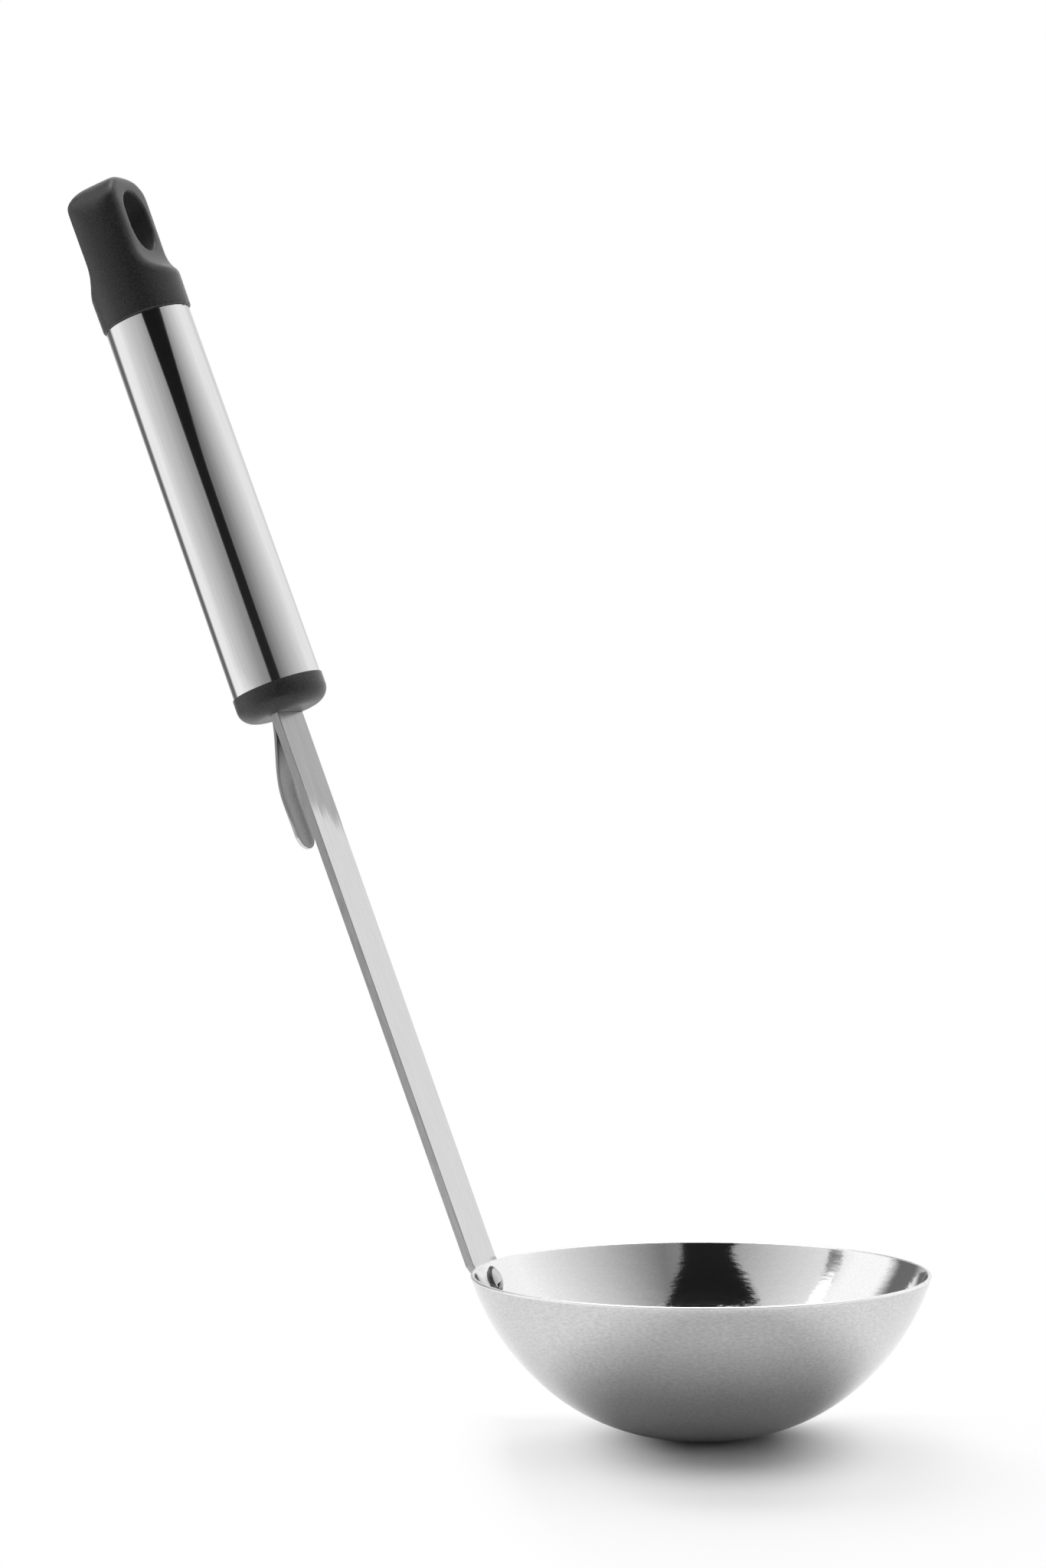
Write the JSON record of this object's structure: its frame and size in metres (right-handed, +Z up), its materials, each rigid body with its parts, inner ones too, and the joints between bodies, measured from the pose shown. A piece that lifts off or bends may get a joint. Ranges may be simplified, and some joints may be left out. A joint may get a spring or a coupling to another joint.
{
  "type": "soup ladle",
  "caption": "Deep steel bowl riveted to a leaning flat bar, with a tubular steel grip, a sprung pot clip behind the bar and a dark cap with a hanging eye.",
  "frame": {"origin": "middle of the flat under the bowl", "axes": "+Z up out of the bowl, the handle leans toward -X, and the ladle is the same on both sides of the XZ plane"},
  "size_m": [0.1874, 0.095, 0.2643],
  "materials": {
    "bowl_steel": "satin outside, brighter inside",
    "bar_steel": "brushed along its length",
    "rivet_steel": "bright",
    "clip_steel": "satin",
    "tube_steel": "polished",
    "collar_plastic": "fine matt",
    "core_plastic": "plain",
    "cap_rubber": "soft-touch matt"
  },
  "bodies": {
    "root": {"bowl": "bowl_steel", "shaft": "bar_steel", "upper_rivet": "rivet_steel", "lower_rivet": "rivet_steel", "pot_clip": "clip_steel", "collar": "collar_plastic", "collar_pin": "rivet_steel", "handle_tube": "tube_steel", "handle_core": "core_plastic", "cap_plug": "core_plastic", "end_cap": "cap_rubber"}
  },
  "joints": []
}
